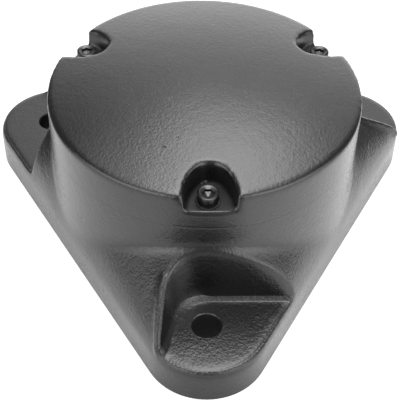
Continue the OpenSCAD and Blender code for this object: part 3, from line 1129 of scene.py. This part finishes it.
    def dress(self, piece: bpy.types.Object) -> None:
        """Paint the cast skin and leave the machined faces bare.

        Args:
            piece: The finished body.
        """
        flaws = (Flaw((-20.5, -50.2, 90.8), reach=0.9, height=-3.0),
                 Flaw((24.9, -95.9, 20.6), reach=1.3, height=6.0),
                 Flaw((44.1, -75.1, 32.4), reach=1.0, height=-4.0),
                 Flaw((51.7, -69.4, 23.6), reach=0.9, height=-3.0))
        paint = PaintedIron("black_paint_on_iron", flaws=flaws, seam_z=67.0)
        bare = TurnedMetal("machined_iron", dark=(0.30, 0.30, 0.30), light=(0.42, 0.41, 0.40),
                           gloss=(0.32, 0.45), pitch=1800.0, depth=0.00002)
        dull = PaintedIron("dull_paint_in_hollows", light=(0.010, 0.010, 0.010), gloss=(0.5, 0.65),
                           coat=0.0, depth=0.00016)
        finishes = {Face.PAINT: paint, Face.BARE: bare, Face.HOLE: dull}
        mesh = piece.data
        mesh.materials.clear()
        for kind in Face:
            mesh.materials.append(finishes[kind].material())
        for face in mesh.polygons:
            face.material_index = self.face_kind(face.center).value
            face.use_smooth = True
        mesh.set_sharp_from_angle(angle=math.radians(self.crease))
        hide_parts("housing_body")
        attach(piece, Body.HOUSING.value)
        triangles = sum(len(f.vertices) - 2 for f in mesh.polygons)
        LOG.info("%s: %d triangles", piece.name, triangles)


@dataclass
class CoverScrews:
    """Three socket head cap screws with spring washers, sunk in the rim."""

    pitch_r: float = 72.5
    thread_r: float = 3.0
    head_r: float = 5.15
    head_h: float = 6.0
    key: float = 5.0
    seat_z: float = 75.6
    washer_t: float = 1.56
    washer_r: float = 5.6
    tip_z: float = 8.6
    points: int = 72
    clocking: tuple[float, float, float] = (0.0, 17.0, -22.0)
    # The head: bevel at its foot, knurl, steps of the dished crown inside its radius and below its top,
    # mouth of the socket in key widths and depth, depths of the flats, and the drill's tip
    foot: Point = (0.3, 0.35)
    knurl: float = 0.16
    knurl_end: float = 1.0
    crown: Outline = ((0.06, 0.8), (0.1, 0.42), (0.75, 0.14), (0.85, 0.0), (1.1, 0.05))
    mouth: Point = (0.63, 0.5)
    flats: Point = (0.75, 2.3)
    drill_tip: Point = (0.1, 3.6)
    # Bevel of the thread's tip and how far the thread reaches into the head
    tip_edge: float = 0.6
    thread_lap: float = 0.4
    # The washer: play around the thread, rounded edges, length of the turn and where its gap points
    washer_play: float = 0.3
    washer_edge: float = 0.18
    edge_angle: float = 0.8
    washer_sweep: float = 352.0
    washer_turn: float = 205.0
    crease: float = 35.0

    def ring(self, radius: float, z: float, knurl: float = 0.0) -> list[Vector]:
        """Give a round ring, with every second point pulled in for a knurl."""
        reach = (radius - knurl * (i % 2) for i in range(self.points))
        return [Vector((r * math.cos(a), r * math.sin(a), z)) for r, a in zip(reach, self.angles())]

    def angles(self) -> list[float]:
        """Give the angle of each point of a ring."""
        return [2 * math.pi * i / self.points for i in range(self.points)]

    def hexagon(self, flats: float, z: float) -> list[Vector]:
        """Give a ring of points along a hexagon.

        Args:
            flats: Width across flats.
            z: Height of the ring.

        Returns:
            The points.
        """
        ring = []
        for a in self.angles():
            off = (math.degrees(a) + 30) % 60 - 30
            r = flats / 2 / math.cos(math.radians(off))
            ring.append(Vector((r * math.cos(a), r * math.sin(a), z)))
        return ring

    def screw(self, bm: bmesh.types.BMesh, place: Matrix) -> None:
        """Add one screw.

        Args:
            bm: Mesh that it joins.
            place: Where its head sits.
        """
        r, h = self.head_r, self.head_h
        rings = [self.ring(r - self.foot[0], 0), self.ring(r, self.foot[1], self.knurl),
                 self.ring(r, h - self.knurl_end, self.knurl)]
        rings += [self.ring(r - inset, h - drop) for inset, drop in self.crown]
        rings.append(self.ring(self.key * self.mouth[0], h - self.mouth[1]))
        rings += [self.hexagon(self.key, h - drop) for drop in self.flats]
        rings.append(self.ring(self.drill_tip[0], h - self.drill_tip[1]))
        stacked(bm, rings, place)
        r, edge, lap = self.thread_r, self.tip_edge, self.thread_lap
        low = self.tip_z - self.seat_z - self.washer_t
        spun(bm, ((0, low), (r - edge, low), (r, low + edge), (r, lap), (0, lap)), steps=32, place=place)

    def washer(self, bm: bmesh.types.BMesh, place: Matrix) -> None:
        """Add one split washer, with its ends a little apart in height.

        Args:
            bm: Mesh that it joins.
            place: Where it lies.
        """
        old = set(bm.verts)
        inner, outer, t = self.thread_r + self.washer_play, self.washer_r, self.washer_t
        corners = ((inner, 0), (outer, 0), (outer, t), (inner, t))
        section = [bm.verts.new((r * MM, 0, z * MM)) for r, z in corners]
        face = bm.faces.new(section)
        bmesh.ops.spin(bm, geom=[face, *face.edges, *section], cent=(0, 0, 0), axis=(0, 0, 1),
                       angle=math.radians(self.washer_sweep), steps=60)
        made = [v for v in bm.verts if v not in old]
        around = {e for v in made for e in v.link_edges}
        edges = [e for e in around if e.calc_face_angle(0.0) > self.edge_angle]
        bmesh.ops.bevel(bm, geom=edges, offset=self.washer_edge * MM, offset_type="OFFSET", segments=2,
                        profile=0.5, affect="EDGES", clamp_overlap=True, material=-1)
        made = [v for v in bm.verts if v not in old]
        bmesh.ops.recalc_face_normals(bm, faces=list({f for v in made for f in v.link_faces}))
        bmesh.ops.transform(bm, matrix=place @ turn(self.washer_turn), verts=made)

    def build(self) -> None:
        """Build screws and washers and put them in place of their CAD nodes."""
        screws, washers = bmesh.new(), bmesh.new()
        for angle, own in zip(CORNERS, self.clocking):
            place = turn(angle) @ shift(self.pitch_r, 0, self.seat_z)
            self.washer(washers, place)
            self.screw(screws, place @ shift(0, 0, self.washer_t) @ turn(own))
        oxide = HandledStock("oxide_on_screws", dark=(0.075, 0.075, 0.074), light=(0.125, 0.125, 0.123),
                             gloss=(0.24, 0.36))
        spring = HandledStock("spring_steel", dark=(0.05, 0.05, 0.052), light=(0.11, 0.11, 0.11),
                              gloss=(0.3, 0.45))
        sets = (("cap_screws", screws, "cover_screws", oxide, "black_oxide_steel"),
                ("spring_washers", washers, "screw_washers", spring, "washer_steel"))
        for name, bm, node, finish, slot in sets:
            piece = settle(name, bm)
            piece.data.materials.append(finish.material())
            piece.data.shade_smooth()
            piece.data.set_sharp_from_angle(angle=math.radians(self.crease))
            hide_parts(node)
            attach(piece, Body.HOUSING.value)
            LOG.info("%s: %d faces", name, len(piece.data.polygons))


@dataclass
class RearCover:
    """Cast cover, its face ring and the lip seal around the shaft."""

    paint_depth: float = 0.00006
    rubber_gloss: Point = (0.5, 0.65)

    def dress(self) -> None:
        """Give cover and seals their finishes."""
        dress(PaintedIron("cover_paint", grain=1100.0, depth=self.paint_depth), "rear_cover")
        for node in ("cover_o_ring", "shaft_seal"):
            rubber = HandledStock(node + "_rubber", dark=(0.012, 0.012, 0.012), light=(0.022, 0.022, 0.022),
                                  gloss=self.rubber_gloss, metallic=0.0, size=900.0, depth=0.00003)
            dress(rubber, node)


@dataclass
class RollerBearing:
    """Self-aligning roller bearing with its cages, guide ring and locating rings."""

    race_pitch: float = 5200.0
    cage_pitch: float = 3000.0
    mark_depth: float = 0.00001

    def dress(self) -> None:
        """Give rings, rollers and cages their finishes."""
        dress(TurnedMetal("ground_steel", pitch=self.race_pitch), "outer_ring", "inner_ring", "front_rollers",
              "rear_rollers")
        brass = TurnedMetal("milled_cage_brass", dark=(0.52, 0.36, 0.12), light=(0.66, 0.48, 0.19),
                            gloss=(0.2, 0.32), pitch=self.cage_pitch, depth=self.mark_depth)
        dress(brass, "front_cage", "rear_cage")
        iron = TurnedMetal("phosphated_iron", dark=(0.10, 0.10, 0.10), light=(0.16, 0.16, 0.16),
                           gloss=(0.4, 0.55), pitch=1800.0, depth=self.mark_depth)
        dress(iron, "guide_ring")
        bright = TurnedMetal("bright_steel", dark=(0.36, 0.36, 0.37), light=(0.48, 0.48, 0.48),
                             gloss=(0.3, 0.42), pitch=2400.0, depth=self.mark_depth)
        dress(bright, "front_locating_ring", "rear_locating_ring")


@dataclass
class SleeveSet:
    """Adapter sleeve with lock washer and nut, and the plug of the lubrication hole."""

    sleeve_pitch: float = 4200.0

    def dress(self) -> None:
        """Give sleeve, washer, nut and plug their finishes."""
        ground = TurnedMetal("ground_sleeve_steel", dark=(0.40, 0.41, 0.42), light=(0.52, 0.53, 0.54),
                             gloss=(0.22, 0.34), pitch=self.sleeve_pitch)
        dress(ground, "adapter_sleeve")
        stamped = HandledStock("stamped_steel", dark=(0.34, 0.34, 0.35), light=(0.46, 0.46, 0.46),
                               gloss=(0.3, 0.42))
        dress(stamped, "lock_washer")
        blued = TurnedMetal("blued_steel", dark=(0.05, 0.05, 0.055), light=(0.09, 0.09, 0.095),
                            gloss=(0.3, 0.42), pitch=2200.0, depth=0.00001)
        dress(blued, "lock_nut")
        brass = HandledStock("turned_plug_brass", dark=(0.50, 0.35, 0.12), light=(0.64, 0.46, 0.18),
                             gloss=(0.25, 0.4))
        dress(brass, "grease_plug")


@dataclass
class Studio:
    """Camera at the photograph's angle, white floor and one soft lamp overhead."""

    spot: tuple[float, float, float] = (-0.0157, -0.4012, 0.4069)
    lens: float = 89.88
    elevation: float = 45.02
    yaw: float = 2.09
    roll: float = 1.45
    glow: float = 0.8
    sheet: float = 0.5
    gap: float = 0.12
    skew: float = 0.17
    roof_tilt: float = 0.15
    least: float = 1e-4
    aim: tuple[float, float, float] = (0.0, 0.0, 0.04)
    floor_half: float = 3.0
    floor_z: float = -0.4
    # Shares of the floor's painted shade in its diffuse colour and in its painted glow
    matt_share: float = 0.7
    painted_glow_share: float = 0.25

    def camera(self) -> None:
        """Set up the camera on the photograph's fitted view."""
        e, y, r = (math.radians(angle) for angle in (self.elevation, self.yaw, self.roll))
        s, c = math.sin(y), math.cos(y)
        right = Vector((c, -s, 0))
        up = Vector((s * math.sin(e), c * math.sin(e), math.cos(e)))
        axis_x = right * math.cos(r) + up * math.sin(r)
        axis_y = up * math.cos(r) - right * math.sin(r)
        data = bpy.data.cameras.new("photo_camera")
        data.lens = self.lens
        data.sensor_width = 36.0
        data.clip_start = 0.01
        data.clip_end = 20.0
        camera = bpy.data.objects.new("photo_camera", data)
        axes = Matrix((axis_x, axis_y, axis_x.cross(axis_y))).transposed().to_4x4()
        camera.matrix_world = Matrix.Translation(self.spot) @ axes
        bpy.context.scene.collection.objects.link(camera)
        bpy.context.scene.camera = camera

    def lamp(self, name: str, place: Sequence[float], size: tuple[float, float], power: float) -> None:
        """Add one soft lamp that points at the housing.

        Args:
            name: The lamp's name.
            place: Where it hangs, in metres.
            size: Width and height in metres.
            power: Watts.
        """
        data = bpy.data.lights.new(name, "AREA")
        data.shape, data.size, data.size_y, data.energy = "RECTANGLE", size[0], size[1], power
        lamp = bpy.data.objects.new(name, data)
        lamp.location = place
        lamp.rotation_mode = "QUATERNION"
        lamp.rotation_quaternion = (Vector(self.aim) - Vector(place)).to_track_quat("-Z", "Y")
        bpy.context.scene.collection.objects.link(lamp)

    def panels(self, bench: NodeBench, way: Socket) -> tuple[Socket, Socket, Socket, Socket]:
        """Say how far each direction belongs to the back panel and to the side panels.

        Args:
            bench: Tree that the nodes go into.
            way: A direction or a place around the object.

        Returns:
            Weights of back panel and side panels, length of the level part, and how far it points back.
        """
        axes = bench.add("ShaderNodeSeparateXYZ", {0: way})
        level = bench.add("ShaderNodeCombineXYZ", {0: axes.outputs[0], 1: axes.outputs[1]}).outputs[0]
        reach = bench.add("ShaderNodeVectorMath", {0: level}, operation="LENGTH").outputs["Value"]
        length = bench.maths("MAXIMUM", reach, self.least)
        ahead = bench.maths("DIVIDE", axes.outputs[1], length)
        rear_end = bench.span(ahead, low=1.0, high=0.0, start=-0.1, end=0.14)
        swell = bench.span(ahead, low=2.1, high=1.0, start=-0.75, end=-0.1)
        front_end = bench.span(ahead, low=0.05, high=1.0, start=-0.985, end=-0.88)
        sides = bench.maths("MULTIPLY", bench.maths("MULTIPLY", rear_end, swell), front_end)
        turned = bench.maths("ADD", bench.maths("MULTIPLY", axes.outputs[1], math.cos(self.skew)),
                             bench.maths("MULTIPLY", axes.outputs[0], math.sin(self.skew)))
        facing = bench.maths("DIVIDE", turned, length)
        return bench.span(facing, low=0.0, high=1.0, start=0.73, end=0.97), sides, reach, ahead

    def tent(self, bench: NodeBench) -> Socket:
        """Give the light that comes from each direction around the object.

        Args:
            bench: The world's tree.

        Returns:
            Brightness: a panel behind, one on each side, dim gaps between them and a pale roof.
        """
        way = bench.add("ShaderNodeTexCoord").outputs["Generated"]
        back, sides, _, _ = self.panels(bench, way)
        axes = bench.add("ShaderNodeSeparateXYZ", {0: way})
        up = axes.outputs[2]
        behind = bench.maths("MULTIPLY", back, bench.span(up, low=1.25, high=0.55, start=0.25, end=0.75))
        foot = bench.span(up, low=0.85, high=1.1, start=0.0, end=0.2)
        head = bench.span(up, low=1.0, high=0.3, start=0.5, end=0.8)
        beside = bench.maths("MULTIPLY", sides, bench.maths("MULTIPLY", foot, head))
        tilted = bench.maths("ADD", up, bench.maths("MULTIPLY", axes.outputs[1], self.roof_tilt))
        pale = bench.span(tilted, low=0.0, high=1.2, start=0.84, end=0.94)
        bright = bench.span(up, low=0.0, high=2.6, start=0.955, end=0.985)
        roof = bench.maths("ADD", pale, bright)
        light = bench.maths("ADD", bench.maths("ADD", behind, beside), roof)
        return bench.maths("ADD", light, self.gap)

    def surroundings(self) -> None:
        """Make the world: white to the camera, a tent for the light and for reflections."""
        world = bpy.data.worlds.new("tent")
        bpy.context.scene.world = world
        world.use_nodes = True
        world.node_tree.nodes.clear()
        bench = NodeBench(world.node_tree)
        path = bench.add("ShaderNodeLightPath")
        tent = bench.add("ShaderNodeBackground", {0: self.tent(bench)})
        white = bench.add("ShaderNodeBackground", {0: (1, 1, 1, 1)})
        mix = bench.add("ShaderNodeMixShader",
                        {0: path.outputs["Is Camera Ray"], 1: tent.outputs[0], 2: white.outputs[0]})
        bench.add("ShaderNodeOutputWorld", {0: mix.outputs[0]})

    def painted_floor_shade(self, bench: NodeBench) -> Socket:
        """Give the painted shade of the floor, the brightness that it has in the paint.

        Args:
            bench: The floor's tree.

        Returns:
            Painted shade: bright near the object, dimmer in front, on the left and in the gaps between the
                panels.
        """
        place = bench.place()
        back, sides, reach, ahead = self.panels(bench, place)
        # Painted shade: the floor darkens in the gaps between the panels, away from the object.
        gaps = bench.maths("SUBTRACT", 1.0, bench.maths("ADD", back, sides))
        distant = bench.span(reach, low=0.0, high=1.0, start=0.16, end=0.3)
        far = bench.maths("MULTIPLY", bench.span(gaps, low=0.0, high=0.85), distant)
        axes = bench.add("ShaderNodeSeparateXYZ", {0: place})
        # Painted shade: the floor darkens in front of the object and on its left.
        front = bench.span(ahead, low=0.65, high=1.0, start=-1.0, end=-0.92)
        left = bench.span(axes.outputs[0], low=0.8, high=1.05, start=-0.2, end=0.06)
        near = bench.maths("MULTIPLY", front, left)
        return bench.maths("MULTIPLY", near, bench.maths("SUBTRACT", 1.0, far))

    def floor(self) -> None:
        """Lay a pale floor that shows white and keeps a faint shadow; in reflections and for bounced light it
        has painted shade and a painted glow.
        """
        bm = bmesh.new()
        bmesh.ops.create_grid(bm, x_segments=1, y_segments=1, size=self.floor_half,
                              matrix=shift(0, 0, self.floor_z))
        sheet = settle("floor", bm)
        material = bpy.data.materials.new("floor_white_with_painted_shade")
        material.use_nodes = True
        material.node_tree.nodes.clear()
        bench = NodeBench(material.node_tree)
        path = bench.add("ShaderNodeLightPath")
        mirrored = bench.maths("MAXIMUM", path.outputs["Is Glossy Ray"], path.outputs["Is Transmission Ray"])
        # Painted shade on the floor, which sets its diffuse colour and the strength of its painted glow.
        level = self.painted_floor_shade(bench)
        matt_with_painted_shade = bench.add("ShaderNodeBsdfDiffuse", {0: bench.maths("MULTIPLY", level, self.matt_share)})
        paper = bench.add("ShaderNodeBsdfDiffuse", {0: (self.sheet, self.sheet, self.sheet, 1)})
        glow = bench.add("ShaderNodeEmission", {0: (1, 1, 1, 1), 1: self.glow})
        shown = bench.add("ShaderNodeAddShader", {0: paper.outputs[0], 1: glow.outputs[0]})
        # Painted glow: the floor shines in reflections with its painted shade.
        strength = bench.maths("MULTIPLY", level, self.painted_glow_share)
        painted_glow = bench.add("ShaderNodeEmission", {0: (1, 1, 1, 1), 1: strength})
        painted_reflection = bench.add("ShaderNodeAddShader", {0: matt_with_painted_shade.outputs[0], 1: painted_glow.outputs[0]})
        other = bench.add("ShaderNodeMixShader", {0: mirrored, 1: matt_with_painted_shade.outputs[0], 2: painted_reflection.outputs[0]})
        mix = bench.add("ShaderNodeMixShader",
                        {0: path.outputs["Is Camera Ray"], 1: other.outputs[0], 2: shown.outputs[0]})
        bench.add("ShaderNodeOutputMaterial", {0: mix.outputs[0]})
        sheet.data.materials.append(material)

    def build(self) -> None:
        """Set up camera, lamp, world and floor."""
        bpy.context.scene.view_settings.view_transform = "Standard"
        self.camera()
        self.surroundings()
        self.floor()
        self.lamp("overhead_softbox", place=(0.11, 0.44, 1.15), size=(0.52, 0.8), power=2.75)


def main() -> None:
    """Build the pieces in order and report each."""
    logging.basicConfig(level=logging.INFO)
    Studio().build()
    casting = Casting()
    casting.dress(casting.build())
    CoverScrews().build()
    for part in (RearCover(), RollerBearing(), SleeveSet()):
        part.dress()


if __name__ == "__main__":
    main()
